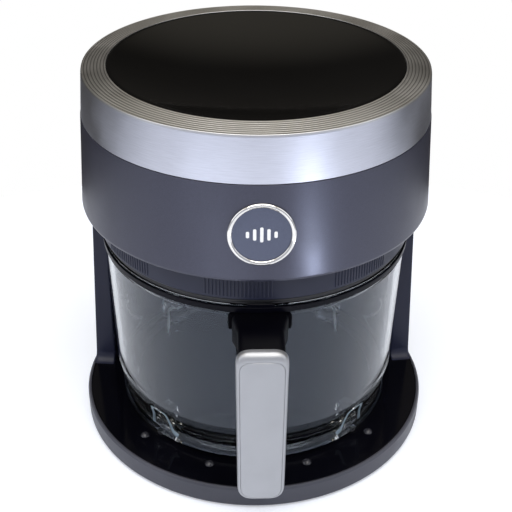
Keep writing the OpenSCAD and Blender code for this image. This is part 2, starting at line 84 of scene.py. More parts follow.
def lathe(outline, steps=ROUND_STEPS):
    """Turns a closed outline of (radius, height) points about Z."""
    verts, index = [], []
    for radius, height in outline:
        if radius < 1e-6:
            index.append([len(verts)] * steps)
            verts.append((0, 0, height))
            continue
        index.append([len(verts) + j for j in range(steps)])
        for j in range(steps):
            a = TURN * j / steps
            verts.append((radius * math.cos(a), radius * math.sin(a), height))
    faces = []
    for i in range(len(outline)):
        low, high = index[i], index[(i + 1) % len(outline)]
        for j in range(steps):
            k = (j + 1) % steps
            ring = [low[j], low[k], high[k], high[j]]
            face = [v for n, v in enumerate(ring) if v not in ring[:n]]
            if len(face) > 2:
                faces.append(face)
    return verts, faces


def loft(rings, caps=True, wrap=False):
    """Joins closed rings of equally many points into one skin."""
    count = len(rings[0])
    verts = [tuple(p) for ring in rings for p in ring]
    faces = []
    last = len(rings) if wrap else len(rings) - 1
    for i in range(last):
        a, b = i * count, (i + 1) % len(rings) * count
        for j in range(count):
            k = (j + 1) % count
            faces.append([a + j, a + k, b + k, b + j])
    if caps and not wrap:
        faces.append(list(range(count))[::-1])
        faces.append([(len(rings) - 1) * count + j for j in range(count)])
    return verts, faces


def join(parts):
    """Puts several (verts, faces) meshes into one."""
    verts, faces = [], []
    for part_verts, part_faces in parts:
        base = len(verts)
        verts += part_verts
        faces += [[base + v for v in face] for face in part_faces]
    return verts, faces


def placed(part, matrix):
    """The same (verts, faces) mesh under a transform."""
    return [tuple(matrix @ Vector(v)) for v in part[0]], part[1]


def raw_object(name, part):
    """A mesh object in the scene, its faces turned outward."""
    mesh = bpy.data.meshes.new(name)
    mesh.from_pydata(part[0], [], part[1])
    bm = bmesh.new()
    bm.from_mesh(mesh)
    bmesh.ops.recalc_face_normals(bm, faces=bm.faces)
    bm.to_mesh(mesh)
    bm.free()
    obj = bpy.data.objects.new(name, mesh)
    bpy.context.scene.collection.objects.link(obj)
    return obj


def cut(obj, cutters):
    """Cuts the (verts, faces) meshes out of an object, and keeps the result as its mesh."""
    for n, cutter in enumerate(cutters):
        tool = raw_object(f"{obj.name}_cutter", cutter)
        step = obj.modifiers.new(f"cut_{n}", "BOOLEAN")
        step.operation = "DIFFERENCE"
        step.solver = "EXACT"
        step.object = tool
        shape = obj.evaluated_get(bpy.context.evaluated_depsgraph_get())
        mesh = bpy.data.meshes.new_from_object(shape)
        obj.modifiers.clear()
        obj.data = mesh
        bpy.data.objects.remove(tool)


def piece(name, part, body, look, replaces=None, cutters=()):
    """Makes a finished piece that rides on a body and stands for a CAD node."""
    obj = raw_object(name, part)
    cut(obj, cutters)
    obj.data.shade_smooth()
    obj.data.set_sharp_from_angle(angle=SHARP_ANGLE)
    normals = obj.modifiers.new("normals", "WEIGHTED_NORMAL")
    normals.keep_sharp = True
    obj.data.materials.clear()
    obj.data.materials.append(looks[look])
    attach(obj, body)
    if replaces:
        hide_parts(replaces)
    return obj


# ---------------------------------------------------------------- materials

def feed(tree, socket, value):
    """Links another node's output to a socket, or sets a plain value on it."""
    if isinstance(value, bpy.types.NodeSocket):
        tree.links.new(value, socket)
    else:
        socket.default_value = value


def mixed(tree, factor, a, b, blend="MIX"):
    """Two colours mixed by a factor."""
    made = tree.nodes.new("ShaderNodeMix")
    made.data_type = "RGBA"
    made.blend_type = blend
    for socket, value in ((MIX_FACTOR, factor), (MIX_A, a), (MIX_B, b)):
        feed(tree, made.inputs[socket], value)
    return made.outputs[MIX_RESULT]


def through_colors(tree, value, stops):
    """Runs a value through colours, each given as its position and (red, green, blue)."""
    made = tree.nodes.new("ShaderNodeValToRGB")
    elements = made.color_ramp.elements
    for element, (position, color) in ((elements[0], stops[0]), (elements[1], stops[-1])):
        element.position = position
        element.color = (*color, 1)
    for position, color in stops[1:-1]:
        elements.new(position).color = (*color, 1)
    feed(tree, made.inputs["Fac"], value)
    return made.outputs["Color"]


class Look:
    """A Principled material that procedural layers are added to."""

    def __init__(self, name, color, roughness, metallic=0.0, **sockets):
        self.material = bpy.data.materials.new(name)
        self.material.use_nodes = True
        self.tree = self.material.node_tree
        self.shader = self.tree.nodes["Principled BSDF"]
        self.color = color
        self.set("Base Color", (*color, 1))
        self.set("Roughness", roughness)
        self.set("Metallic", metallic)
        for socket, value in sockets.items():
            self.set(socket.replace("_", " ").title().replace("Ior", "IOR"), value)
        self.place = self.node("ShaderNodeTexCoord").outputs["Object"]
        self.bumped = None
        looks[name] = self.material

    def set(self, socket, value):
        """Sets a plain value on the shader."""
        self.shader.inputs[socket].default_value = value

    def node(self, kind, **inputs):
        """A new node, its inputs fed by name."""
        made = self.tree.nodes.new(kind)
        for key, value in inputs.items():
            feed(self.tree, made.inputs[key], value)
        return made

    def math(self, operation, a, b=0.0):
        """The result of a Math node on one or two values."""
        made = self.tree.nodes.new("ShaderNodeMath")
        made.operation = operation
        for i, value in enumerate((a, b)):
            feed(self.tree, made.inputs[i], value)
        return made.outputs[0]

    def stretched(self, scale):
        """Object coordinates, scaled apart along the three axes."""
        mapping = self.node("ShaderNodeMapping", Vector=self.place)
        mapping.inputs["Scale"].default_value = scale
        return mapping.outputs[0]

    def turned(self, across=1.0, along=0.02):
        """Coordinates for spun metal: radius and height at full scale, angle drawn out."""
        split = self.node("ShaderNodeSeparateXYZ", Vector=self.place).outputs
        square = self.math("ADD", self.math("MULTIPLY", split[0], split[0]),
                           self.math("MULTIPLY", split[1], split[1]))
        radius = self.math("MULTIPLY", self.math("SQRT", square), across)
        height = self.math("MULTIPLY", split[2], across)
        angle = self.math("MULTIPLY", self.math("ARCTAN2", split[1], split[0]), along)
        return self.node("ShaderNodeCombineXYZ", X=radius, Y=height, Z=angle).outputs[0]

    def noise(self, scale, detail=3.0, roughness=0.5, where=None):
        """Smooth noise from 0 to 1, in object coordinates unless others are given."""
        made = self.node("ShaderNodeTexNoise", Vector=where or self.place,
                         Scale=scale, Detail=detail, Roughness=roughness)
        return made.outputs["Fac"]

    def spread(self, value, low, high, from_low=0.3, from_high=0.7):
        """A value's middle range, stretched to run from low to high."""
        made = self.node("ShaderNodeMapRange", Value=value)
        for key, number in (("From Min", from_low), ("From Max", from_high),
                            ("To Min", low), ("To Max", high)):
            made.inputs[key].default_value = number
        return made.outputs[0]

    def tint(self, value, other, low=0.3, high=0.7):
        """Runs the base colour from the look's own to another, by a value."""
        colors = through_colors(self.tree, value, [(low, self.color), (high, other)])
        self.tree.links.new(colors, self.shader.inputs["Base Color"])

    def paint_light_by(self, attribute, stops):
        """Multiplies the base colour so far by colours that follow a value stored on the mesh: painted
        light and shade.
        """
        stored = self.node("ShaderNodeAttribute")
        stored.attribute_name = attribute
        base = self.shader.inputs["Base Color"]
        before = base.links[0].from_socket
        painted_light = through_colors(self.tree, stored.outputs["Fac"], stops)
        self.tree.links.new(mixed(self.tree, 1.0, before, painted_light, "MULTIPLY"), base)

    def vary_roughness(self, value, low, high):
        """Lets the roughness follow a value."""
        self.tree.links.new(self.spread(value, low, high), self.shader.inputs["Roughness"])

    def bump(self, value, strength, distance):
        """Adds a layer of fine relief over the layers before it."""
        made = self.node("ShaderNodeBump", Height=value, Strength=strength, Distance=distance)
        if self.bumped:
            self.tree.links.new(self.bumped, made.inputs["Normal"])
        self.bumped = made.outputs[0]
        self.tree.links.new(self.bumped, self.shader.inputs["Normal"])


looks = {}


def moulded(name, color, roughness, grain=2600, strength=0.12, **sockets):
    """Moulded plastic or rubber: fine grain, and soft changes of tone and gloss."""
    look = Look(name, color, roughness, **sockets)
    broad = look.noise(14, 4)
    look.tint(broad, [min(1, c * 1.25 + 0.002) for c in color])
    look.vary_roughness(look.noise(60, 3), roughness * 0.85, roughness * 1.18)
    look.bump(look.noise(grain, 2), strength, 0.0002)
    return look


def painted(name, color, roughness, **sockets):
    """Metallic paint: fine flakes under a clear coat, with a slight orange peel."""
    look = Look(name, color, roughness, **sockets)
    flakes = look.noise(5200, 1)
    look.tint(flakes, [c * 1.9 for c in color], 0.42, 0.72)
    look.vary_roughness(look.noise(34, 4), roughness * 0.88, roughness * 1.16)
    look.bump(look.noise(420, 2), 0.03, 0.0004)
    return look


def glossy(name, color, low, high, **sockets):
    """Polished black: smudges change its gloss a little, and hairlines mark it."""
    look = Look(name, color, low, **sockets)
    look.tint(look.noise(9, 3), [c * 1.5 + 0.0006 for c in color])
    smudges = look.noise(22, 5, 0.62)
    look.vary_roughness(smudges, low, high)
    hair = look.noise(90, 6, 0.7, look.stretched((1, 9, 9)))
    look.bump(hair, 0.012, 0.0002)
    return look


def spun(name, color, roughness, **sockets):
    """Metal turned on a lathe: fine lines run round it, its grooves get painted shade and its top a
    painted warm reflection.
    """
    look = Look(name, color, roughness, 1.0, **sockets)
    lines = look.noise(2600, 3, 0.6, look.turned(1.0, 0.004))
    look.tint(lines, [c * 0.86 for c in color], 0.35, 0.75)
    patches = look.noise(26, 4)
    look.vary_roughness(patches, roughness * 0.86, roughness * 1.2)
    look.bump(lines, 0.035, 0.0001)
    # By the mesh's groove value: a painted warm reflection of the ceiling on the top, and painted shade
    # down in the grooves.
    look.paint_light_by("groove", [(0, (1, 1, 1)), (0.2, (1.02, 1.0, 0.91)), (0.5, (1.0, 0.97, 0.88)),
                            (1, (0.16, 0.15, 0.14))])
    return look


def blasted(name, color, roughness, grain, **sockets):
    """Metal or metal-look finish with a fine even grain."""
    look = Look(name, color, roughness, **sockets)
    look.tint(look.noise(30, 4), [c * 0.93 for c in color])
    look.vary_roughness(look.noise(55, 4), roughness * 0.88, roughness * 1.15)
    look.bump(look.noise(grain, 2), 0.07, 0.0002)
    return look


def sheet(name, color, roughness, **sockets):
    """Rolled sheet or wire: drawn lines one way, with dull patches."""
    look = Look(name, color, roughness, 1.0, **sockets)
    drawn = look.noise(700, 3, 0.55, look.stretched((0.05, 1, 1)))
    look.tint(drawn, [c * 0.8 for c in color])
    look.vary_roughness(look.noise(40, 4), roughness * 0.8, roughness * 1.25)
    look.bump(drawn, 0.06, 0.0001)
    return look


def make_looks():
    """Every material, by the name that the pieces and the CAD's slots use."""
    moulded("anthracite_plastic", (0.041, 0.042, 0.056), 0.36, 3200, 0.1)
    painted("anthracite_paint", (0.035, 0.036, 0.055), 0.34, metallic=0.5,
            coat_weight=0.3, coat_roughness=0.26)
    moulded("black_plastic", (0.008, 0.008, 0.009), 0.45, 1800, 0.25)
    glossy("gloss_black", (0.0012, 0.0012, 0.0026), 0.08, 0.14, specular_ior_level=0.08)
    glossy("panel_black", (0.0014, 0.0013, 0.0013), 0.07, 0.12, specular_ior_level=0.22)
    moulded("navy_plastic", (0.0095, 0.0112, 0.027), 0.38, 2400, 0.16, specular_ior_level=0.3)
    moulded("collar_plastic", (0.0145, 0.017, 0.036), 0.4, 2200, 0.14, specular_ior_level=0.34)
    moulded("stud_plastic", (0.02, 0.02, 0.026), 0.2, 1500, 0.05)
    moulded("handle_black", (0.0008, 0.0008, 0.0020), 0.42, 1500, 0.18, specular_ior_level=0.03)
    moulded("white_plastic", (0.55, 0.53, 0.47), 0.45, 1500, 0.1)
    spun("satin_silver", (0.70, 0.71, 0.78), 0.34)
    blasted("grip_silver", (0.45, 0.455, 0.47), 0.42, 3400, metallic=0.85)
    blasted("chrome", (0.86, 0.84, 0.80), 0.09, 300, metallic=1.0)
    painted("badge_paint", (0.062, 0.070, 0.106), 0.32, metallic=0.5,
            coat_weight=0.3, coat_roughness=0.2)
    moulded("band_black", (0.0016, 0.0017, 0.0045), 0.3, 1500, 0.12, specular_ior_level=0.1)
    moulded("badge_white", (0.8, 0.8, 0.82), 0.3, 900, 0.04)
    moulded("rubber", (0.009, 0.009, 0.01), 0.6, 1200, 0.3)
    moulded("silicone", (0.028, 0.028, 0.032), 0.52, 900, 0.12)
    sheet("sheet_steel", (0.46, 0.47, 0.48), 0.32)
    sheet("screw_steel", (0.55, 0.56, 0.57), 0.25)
    sheet("motor_steel", (0.36, 0.37, 0.38), 0.36)
    sheet("heater_steel", (0.11, 0.09, 0.085), 0.42)
    blasted("sensor_brass", (0.56, 0.42, 0.2), 0.3, 1500, metallic=1.0)
    moulded("cutout_ceramic", (0.28, 0.23, 0.19), 0.5, 1200, 0.2)
    sheet("copper_winding", (0.42, 0.17, 0.06), 0.34)
    moulded("circuit_board", (0.01, 0.075, 0.03), 0.3, 800, 0.2)
    moulded("relay_blue", (0.018, 0.06, 0.22), 0.4, 1500, 0.1)
    moulded("wire_sleeve", (0.2, 0.04, 0.025), 0.5, 900, 0.1)
    make_glass()


def make_glass():
    """Clear glass with a faint cool tint and a slight waviness, and two paler glasses for beads: a milky
    one for the lug beads, partly a painted highlight, and an opaque pale one for the floor beads, which
    are painted highlights.
    """
    look = Look("clear_glass", (0.955, 0.98, 0.99), 0.0, transmission_weight=1.0, ior=1.46,
                specular_tint=(0.66, 0.74, 0.88, 1))
    look.vary_roughness(look.noise(18, 4), 0.0, 0.025)
    look.bump(look.noise(24, 2), 0.05, 0.0006)
    # A milky, half-opaque glass for the beads along the lugs' edges: their pale colour is partly the
    # lugs' real edges, partly a painted highlight.
    edge = Look("ridge_glass", (0.24, 0.32, 0.38), 0.25, transmission_weight=0.35, ior=1.46)
    edge.tint(edge.noise(420, 3), (0.40, 0.50, 0.58))
    edge.bump(edge.noise(900, 2), 0.2, 0.0003)
    # An opaque pale glass: the floor beads drawn in it are painted highlights.
    glint = Look("glint_glass", (0.80, 0.87, 0.92), 0.18, ior=1.46)
    glint.tint(glint.noise(420, 3), (0.92, 0.97, 1.0))
    glint.bump(glint.noise(900, 2), 0.2, 0.0003)


make_looks()


# ---------------------------------------------------------------- sizes from the frame

base_low, base_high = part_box("base_shell")
head_low, head_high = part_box("head_shell")
ring_low, ring_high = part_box("trim_ring")
panel_low, panel_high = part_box("control_panel")
collar_low, collar_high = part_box("knurled_collar")
bowl_low, bowl_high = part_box("glass_bowl")
cover_low, cover_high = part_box("grip_cover")
core_low, core_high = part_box("handle_core")
bracket_low, bracket_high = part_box("handle_bracket")
deck_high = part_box("base_deck")[1]
chamber_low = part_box("chamber_ring")[0]

base_r = base_high.x
rim_top = base_high.z
head_low_r = head_high.x
head_z = head_low.z
seam_z = head_high.z
head_top_r = ring_high.x + 0.3 * MM
head_lean = math.atan((head_low_r - head_top_r) / (seam_z - head_z))
bowl_rim_r = bowl_high.x
bowl_z = bowl_low.z
glass_rim = bowl_high.z
grip_top = glass_rim - 5 * MM


def scaled(points):
    """An outline given in millimetres, in metres."""
    return [tuple(n * MM for n in p) for p in points]


# ---------------------------------------------------------------- base

def build_base():
    """The base's rim with its inner ledge, and the glossy deck that lies in it."""
    r, top, low = base_r / MM, rim_top / MM, base_low.z / MM
    ledge = top - 3.1
    shell = scaled([
        (r - 1.6, low, 0.4), (r - 0.2, low + 1.8, 0.8), (r, top - 1.8, 1.2),
        (r - 1.1, top, 0.5), (r - 2.55, top, 0.35), (r - 2.7, ledge),
        (r - 9, ledge), (r - 9, ledge - 2.5), (r - 3.6, ledge - 2.5), (r - 3.6, low),
    ])
    piece("base_rim", lathe(fillet(shell, 5)), "stand", "anthracite_plastic", "base_shell")
    deck_r, deck_z, deck_top = deck_high.x / MM, ledge + 0.05, top - 0.25
    deck = scaled([(0, deck_z), (deck_r, deck_z), (deck_r, deck_top, 0.5), (0, deck_top)])
    piece("deck_plate", lathe(fillet(deck, 4)), "stand", "gloss_black", "base_deck")


# ---------------------------------------------------------------- head

def head_radius(z):
    """The outside of the head's leaning wall at a height."""
    return head_low_r + (head_top_r - head_low_r) * (z - head_z) / (seam_z - head_z)


def build_head():
    """The painted shell, with its air window at the back and the badge's seat in front."""
    z0, z1 = head_z / MM, seam_z / MM
    low_r, top_r = head_low_r / MM, head_top_r / MM
    mouth_r, skin = 121.5, 2.8
    shell = scaled([
        (mouth_r, z0), (low_r - 0.5, z0, 1.3), (low_r, z0 + 2.2, 1.2), (top_r, z1 - 0.1, 0.35),
        (top_r - skin, z1 - 0.1), (low_r - skin, z0 + skin), (mouth_r, z0 + skin),
    ])
    window = window_cutter(half_angle=24, low=(z0 + 16) * MM, high=(z0 + 56) * MM)
    seat_r, seat_low, seat_high = 22.4, -8, 12
    seat = scaled([(0, seat_low), (seat_r, seat_low), (seat_r, seat_high), (0, seat_high)])
    hole = placed(lathe(fillet(seat), 96), badge_place())
    piece("head_casing", lathe(fillet(shell, 5)), "stand", "anthracite_paint", "head_shell",
          cutters=[window, hole])


def window_cutter(half_angle, low, high):
    """A wedge at the back of the head, its half angle in degrees, between two heights."""
    inner_r, outer_r = 0.118, 0.142
    rings = []
    steps = 24
    for z in (low, high):
        outer = [(90 - half_angle + 2 * half_angle * i / steps, outer_r) for i in range(steps + 1)]
        inner = [(a, inner_r) for a, _ in reversed(outer)]
        rings.append([
            (r * math.cos(math.radians(a)), r * math.sin(math.radians(a)), z)
            for a, r in outer + inner
        ])
    return loft(rings)


def build_trim_ring():
    """The silver ring: a plain band outside, and concentric ripples on its top."""
    z0, top = ring_low.z / MM, ring_high.z / MM
    outer_r = ring_high.x / MM
    edge_r = panel_high.x / MM + 0.5
    ring_r = outer_r - 2.4
    rise = 1.7 / (ring_r - edge_r)

    def face_z(r):
        return top - (r - edge_r) * rise

    outline = [
        (outer_r - 2.6, z0), (outer_r, z0, 0.4), (ring_r + 0.25, top - 3.6, 1.2),
        (ring_r - 0.1, face_z(ring_r), 0.5),
    ]
    pitch, swell, step, margin = 2.35, 0.12, 0.235, 0.8

    def wave(r):
        """From 1 on a ripple's crest to -1 in its trough."""
        return math.cos(TURN * (ring_r - margin - r) / pitch)

    for i in range(1 + round((ring_r - edge_r - 2 * margin) / step)):
        r = ring_r - margin - i * step
        outline.append((r, face_z(r) - swell + swell * wave(r)))
    outline += [
        (edge_r, top, 0.3), (edge_r, top - 6), (edge_r - 2.8, top - 6), (edge_r - 2.8, top - 7.8),
        (edge_r + 2, top - 7.8), (edge_r + 2, top - 3.4), (ring_r - 3, top - 5.4),
    ]
    ring = piece("crown_ring", lathe(fillet(scaled(outline), 3)), "stand", "satin_silver", "trim_ring")
    # The groove value: 0.3 on the crests of the top, for its painted warm reflection, rising to 1 in the
    # troughs, for painted shade; 0 on the band outside.
    top_band = 0.6
    groove = ring.data.attributes.new("groove", "FLOAT", "POINT")
    for vertex, share in zip(ring.data.vertices, groove.data):
        r, z = math.hypot(vertex.co.x, vertex.co.y) / MM, vertex.co.z / MM
        on_top = r < ring_r and z > face_z(r) - top_band
        share.value = 0.3 + 0.7 * max(0, -wave(r)) ** 2 if on_top else 0.0


def build_panel():
    """The dished control panel, a shallow bowl with a narrow flat edge."""
    r, top = panel_high.x / MM, panel_high.z / MM
    skin = 3
    bottom = panel_low.z / MM + skin
    dish_r = r - 2.4
    depth = top - bottom
    ball_r = (dish_r ** 2 + depth ** 2) / (2 * depth)
    steps = 40

    def dish_z(radius):
        return bottom + ball_r - math.sqrt(ball_r ** 2 - radius ** 2)

    upper = [(dish_r * i / steps, dish_z(dish_r * i / steps)) for i in range(steps + 1)]
    rim = [(dish_r + 0.6, top, 0.3), (r, top, 0.6), (r, top - 3), (dish_r - 1, top - 3)]
    lower = [(radius, z - skin) for radius, z in reversed(upper[:-2])]
    outline = upper + rim + lower
    piece("touch_dish", lathe(fillet(scaled(outline), 3)), "stand", "panel_black", "control_panel")


# ---------------------------------------------------------------- badge

def badge_place(depth=0.0):
    """Where the badge sits on the front of the head, leaning back with it."""
    low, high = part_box("badge_disc")
    z = (low.z + high.z) / 2
    return (Matrix.Translation((0, -head_radius(z), z))
            @ Matrix.Rotation(math.pi / 2 - head_lean, 4, "X")
            @ Matrix.Translation((0, 0, depth)))


def build_badge():
    """A chrome bezel, a painted face and five plain bars."""
    low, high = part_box("badge_ring")
    outer = (high.x - low.x) / 2 / MM
    sunk = -4.5
    ring = scaled([
        (outer - 3, sunk), (outer, sunk), (outer, 1.1, 1.2), (outer - 1.5, 1.9, 1.6),
        (outer - 3, 0.9, 0.8),
    ])
    piece("badge_bezel", placed(lathe(fillet(ring, 5), 160), badge_place()),
          "stand", "chrome", "badge_ring")
    face_r = outer - 3.05
    face = scaled([(0, sunk), (face_r, sunk), (face_r, 0.2, 0.2), (0, 0.45)])
    piece("badge_face", placed(lathe(fillet(face), 160), badge_place()),
          "stand", "badge_paint", "badge_disc")
    heights, pitch, width = (4.6, 8.2, 10.8, 8.2, 4.6), 4.6, 2.2
    bars = [rounded_bar((i - 2) * pitch, width, height) for i, height in enumerate(heights)]
    piece("badge_bars", placed(join(bars), badge_place(0.35 * MM)), "stand", "badge_white", "badge_mark")


def rounded_bar(x, width, height):
    """One upright bar with round ends and a soft edge, flat on the badge."""
    half, tall = width / 2, height / 2
    corners = [(x - half, -tall, half), (x + half, -tall, half),
               (x + half, tall, half), (x - half, tall, half)]
    outline = fillet(scaled(corners), 6)
    centre = Vector((x * MM, 0))
    rings = []
    for z, shrink in ((0.0, 1.0), (0.22, 1.0), (0.34, 0.86)):
        rings.append([(*(centre + (p - centre) * shrink), z * MM) for p in outline])
    return loft(rings)


# ---------------------------------------------------------------- column

def arc_points(r, start, end, steps):
    """Points on an arc about the axis."""
    return [(r * math.cos(a), r * math.sin(a))
            for a in (start + (end - start) * i / steps for i in range(steps + 1))]


def column_radius(z):
    """The outside of the column's leaning wall at a height."""
    low_r, top_r = column_low_r, column_top_r
    return low_r + (top_r - low_r) * (z - rim_top) / (head_z - rim_top)


column_low_r = base_r - 2 * MM
column_top_r = column_low_r - 7.3 * MM
column_in_r = 120.5 * MM
column_wall = 2.5 * MM
column_side = math.radians(9.4)
column_lip = math.radians(1.3)
column_blend = 8 * MM


def front_cover_ring(z):
    """The front cover's plan at a height: a concave wall with a rounded lip at each side. Near
    the deck the lips flare out in a quarter circle."""
    blend = column_blend
    rise = z - rim_top
    flare = blend - math.sqrt(blend ** 2 - (blend - rise) ** 2) if rise < blend else 0
    r_out = column_radius(z)
    lip = column_side - flare / r_out
    half = [
        (r_out, column_side + column_lip, 0), (r_out, lip, 3.2 * MM),
        (column_in_r, lip, 1.6 * MM), (column_in_r, column_side + 4 * column_lip, 0),
    ]
    corners = []
    for r, a, rounding in half:
        point = (r * math.cos(a), r * math.sin(a))
        corners.append((*point, rounding) if rounding else point)
    side = [Vector(p) for p in fillet(corners, 6)]
    wall = [Vector(p) for p in arc_points(column_in_r, column_side + 5 * column_lip, math.pi / 2, 40)]
    right_inner = side + wall
    left_inner = [Vector((-p.x, p.y)) for p in reversed(right_inner[:-1])]
    edge = column_side + column_lip
    back = [Vector(p) for p in arc_points(column_in_r + column_wall, math.pi - edge, edge, 80)]
    return [(p.x, p.y, z) for p in right_inner + left_inner + back]


def build_column():
    """The front cover round the bowl, and the rear cover with the inlet's hole."""
    blend, foot_steps, wall_steps = column_blend, 8, 6
    foot = [rim_top + blend * (1 - math.cos(i / foot_steps * math.pi / 2)) for i in range(foot_steps)]
    heights = foot + [rim_top + blend + (head_z - rim_top - blend) * i / wall_steps
                      for i in range(wall_steps + 1)]
    piece("column_face", loft([front_cover_ring(z) for z in heights]), "stand",
          "navy_plastic", "column_front_cover")
    seam = column_lip + 0.35 * MM / column_low_r
    rings = []
    for z in (rim_top, rim_top + 0.6 * MM, (rim_top + head_z) / 2, head_z):
        soft = 0.3 * MM if z == rim_top else 0
        r = column_radius(z) - soft
        outer = arc_points(r, column_side + seam, math.pi - column_side - seam, 120)
        inner = arc_points(r - column_wall, math.pi - column_side - seam, column_side + seam, 120)
        rings.append([(x, y, z) for x, y in outer + inner])
    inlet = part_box("cord_inlet")
    middle = (inlet[0] + inlet[1]) / 2
    bore_r, reach = 8.1, 30
    outline = fillet(scaled([(0, -reach), (bore_r, -reach), (bore_r, reach), (0, reach)]))
    bore = placed(lathe(outline, 64),
                  Matrix.Translation(middle) @ Matrix.Rotation(math.pi / 2, 4, "X"))
    piece("column_back", loft(rings), "stand", "navy_plastic", "column_rear_cover", cutters=[bore])


# ---------------------------------------------------------------- collar and chamber ring

def build_collar():
    """The collar with its groups of grip ribs."""
    z0, z1 = collar_low.z / MM, collar_high.z / MM
    r = collar_high.x / MM - 0.7
    band = scaled([
        (r - 4, z0), (r - 1, z0, 0.3), (r, z0 + 1.1, 0.8), (r, z1 - 1.2, 0.7), (r - 1, z1, 0.4),
        (r - 4, z1),
    ])
    parts = [lathe(fillet(band, 4))]
    first_group, groups, ribs, pitch = -7.5, 8, 19, 1.24
    for g in range(groups):
        for i in range(ribs):
            angle = math.radians(first_group + g * 360 / groups + (i - (ribs - 1) / 2) * pitch)
            parts.append(grip_rib(angle, (r - 0.8) * MM, (z0 + 2.4) * MM, (z1 - 3) * MM))
    piece("grip_collar", join(parts), "collar", "collar_plastic", "knurled_collar")


def build_chamber_ring():
    """The ring that the collar turns on, with a thin flange at its foot and its top."""
    z = chamber_low.z / MM
    skirt = scaled([
        (111, z), (116.4, z, 0.8), (117, z + 1.2, 0.8), (117, z + 2.6, 0.5), (114.2, z + 2.6),
        (114.2, z + 29.2), (127, z + 29.2), (127, z + 31.4), (111, z + 31.4),
    ])
    piece("chamber_skirt", lathe(fillet(skirt, 4)), "stand", "black_plastic", "chamber_ring")


def grip_rib(angle, r, low, high):
    """One upright rib with a round top, standing out of the collar."""
    half, proud, soft = 0.98 * MM, 1.35 * MM, 0.5 * MM
    crest = half * 0.6
    profile = fillet([(-half, 0), (half, 0), (crest, proud, soft), (-crest, proud, soft)], 3)
    cosine, sine = math.cos(angle), math.sin(angle)
    rings = []
    for z, shrink in ((low, 0.35), (low + soft, 1.0), (high - soft, 1.0), (high, 0.35)):
        ring = []
        for across, out in profile:
            y = -(r + out * shrink)
            ring.append((across * cosine - y * sine, across * sine + y * cosine, z))
        rings.append(ring)
    return loft(rings)


# ---------------------------------------------------------------- glass bowl

# The wall's outside at the top of the heel: its radius, and its height over the bowl's foot,
# in millimetres.
HEEL_R, HEEL_RISE = 112.3, 26.7
# A lug's two sides, and how far each slopes, in degrees from the front or from the back.
LUG_SPAN = (34.5, 46.5)
LUG_SLOPE = 6.5
LUG_STEP = 2.6
# A degree of turn along the heel, in millimetres.
DEGREE_RUN = 1.87
BEAD_SIDES = 10
# One of the two pale beads on the bowl's floor, which are painted highlights, as x, y and height in
# millimetres.
GLINT = [(66, 79, 35), (70, 78.2, 35), (73.4, 75.5, 34.5), (75, 71, 33.5), (75.3, 64, 30.8),
         (75.1, 56, 28.5), (74.8, 47, 27.9)]
# Profiles of the heel as radius and height over the bowl's floor, in millimetres: where the
# lugs' beads stand, its inside away from a lug, and its inside at a lug.
HEEL_WALL = [(109.1, 0.0), (109.1, 9.0), (110.2, 13.8), (111.35, 19.0), (112.0, 22.0)]
HEEL = [(108.05, 19.4), (107.95, 17.6), (107.8, 15.6), (107.3, 13.4), (106.3, 11.2), (105.0, 9.0),
        (103.2, 6.9), (101.2, 4.9), (98.8, 3.1), (95.6, 1.4), (88.5, 0.1)]
LUG = [(108.05, 19.4), (107.5, 18.6), (105.0, 18.5), (100.5, 18.5), (95.8, 18.4), (94.0, 17.7),
       (93.2, 16.0), (92.7, 12.0), (92.2, 7.5), (91.2, 2.6), (88.5, 0.1)]


def from_front(r, angle, z):
    """A place in metres, from a radius and height in millimetres and a turn from the front."""
    return r * MM * math.sin(angle), -r * MM * math.cos(angle), z * MM


def lug_share(angle):
    """How far the heel of the glass is drawn in at an angle from the front: 0 to 1."""
    a = abs((math.degrees(angle) + 180) % 360 - 180)
    a = min(a, 180 - a)
    low, high = LUG_SPAN
    if not low - 0.5 < a < high + LUG_STEP:
        return 0.0
    t = min(1, max(0, (a - low) / LUG_SLOPE))
    ramp = t * t * (3 - 2 * t)
    fall = min(1, max(0, (high + LUG_STEP - a) / LUG_STEP))
    return ramp * fall


def build_bowl():
    """The glass bowl, one closed skin, with four lugs drawn into its heel."""
    z0, rim = bowl_z / MM, glass_rim / MM
    rim_r = bowl_rim_r / MM
    heel_z, thick = z0 + HEEL_RISE, 4.0
    floor = z0 + 5.7
    outside = fillet([
        (0, z0 + 1), (98.6, z0 + 1, 0.8), (100.6, z0, 0.8), (108.8, z0, 0.8), (109.4, z0 + 1.0, 0.8),
        (107.2, z0 + 7.6, 0.9), (105.9, z0 + 8.3, 0.8), (106.2, z0 + 10.0, 1.0), (110.2, z0 + 19.5, 8.0),
        (HEEL_R + 0.15, z0 + 31, 12.0),
        (rim_r - 0.25, rim - 9.2), (rim_r + 0.25, rim - 8.2, 0.4), (rim_r - 0.22, rim - 7.2),
        (rim_r, rim - 2), (rim_r, rim, 1.9), (rim_r - thick, rim, 1.9),
        (HEEL_R - thick, heel_z + 4, 8.0), (108.1, floor + 20), (0, floor),
    ], 5)
    outside = [tuple(p) for p in outside[:-1]]
    steps = 720
    rings = []
    for j in range(steps):
        angle = TURN * j / steps
        share = lug_share(angle)
        inside = [(h[0] + (g[0] - h[0]) * share, floor + h[1] + (g[1] - h[1]) * share)
                  for h, g in zip(HEEL, LUG)]
        inside += [(60, floor), (0, floor)]
        profile = outside + inside
        rings.append([from_front(r, angle, z) for r, z in profile])
    verts, faces = loft(rings, wrap=True)
    piece("bowl_glass", merged(verts, faces), "bowl", "clear_glass", "glass_bowl")
    build_lug_ridges(floor)


def heel_wall_radius(rise):
    """Where the beads stand, over the hollow of the heel, at a height above the bowl's floor."""
    for (r0, z0), (r1, z1) in zip(HEEL_WALL, HEEL_WALL[1:]):
        if rise <= z1:
            return r0 + (r1 - r0) * max(0, rise - z0) / (z1 - z0)
    return HEEL_WALL[-1][0]


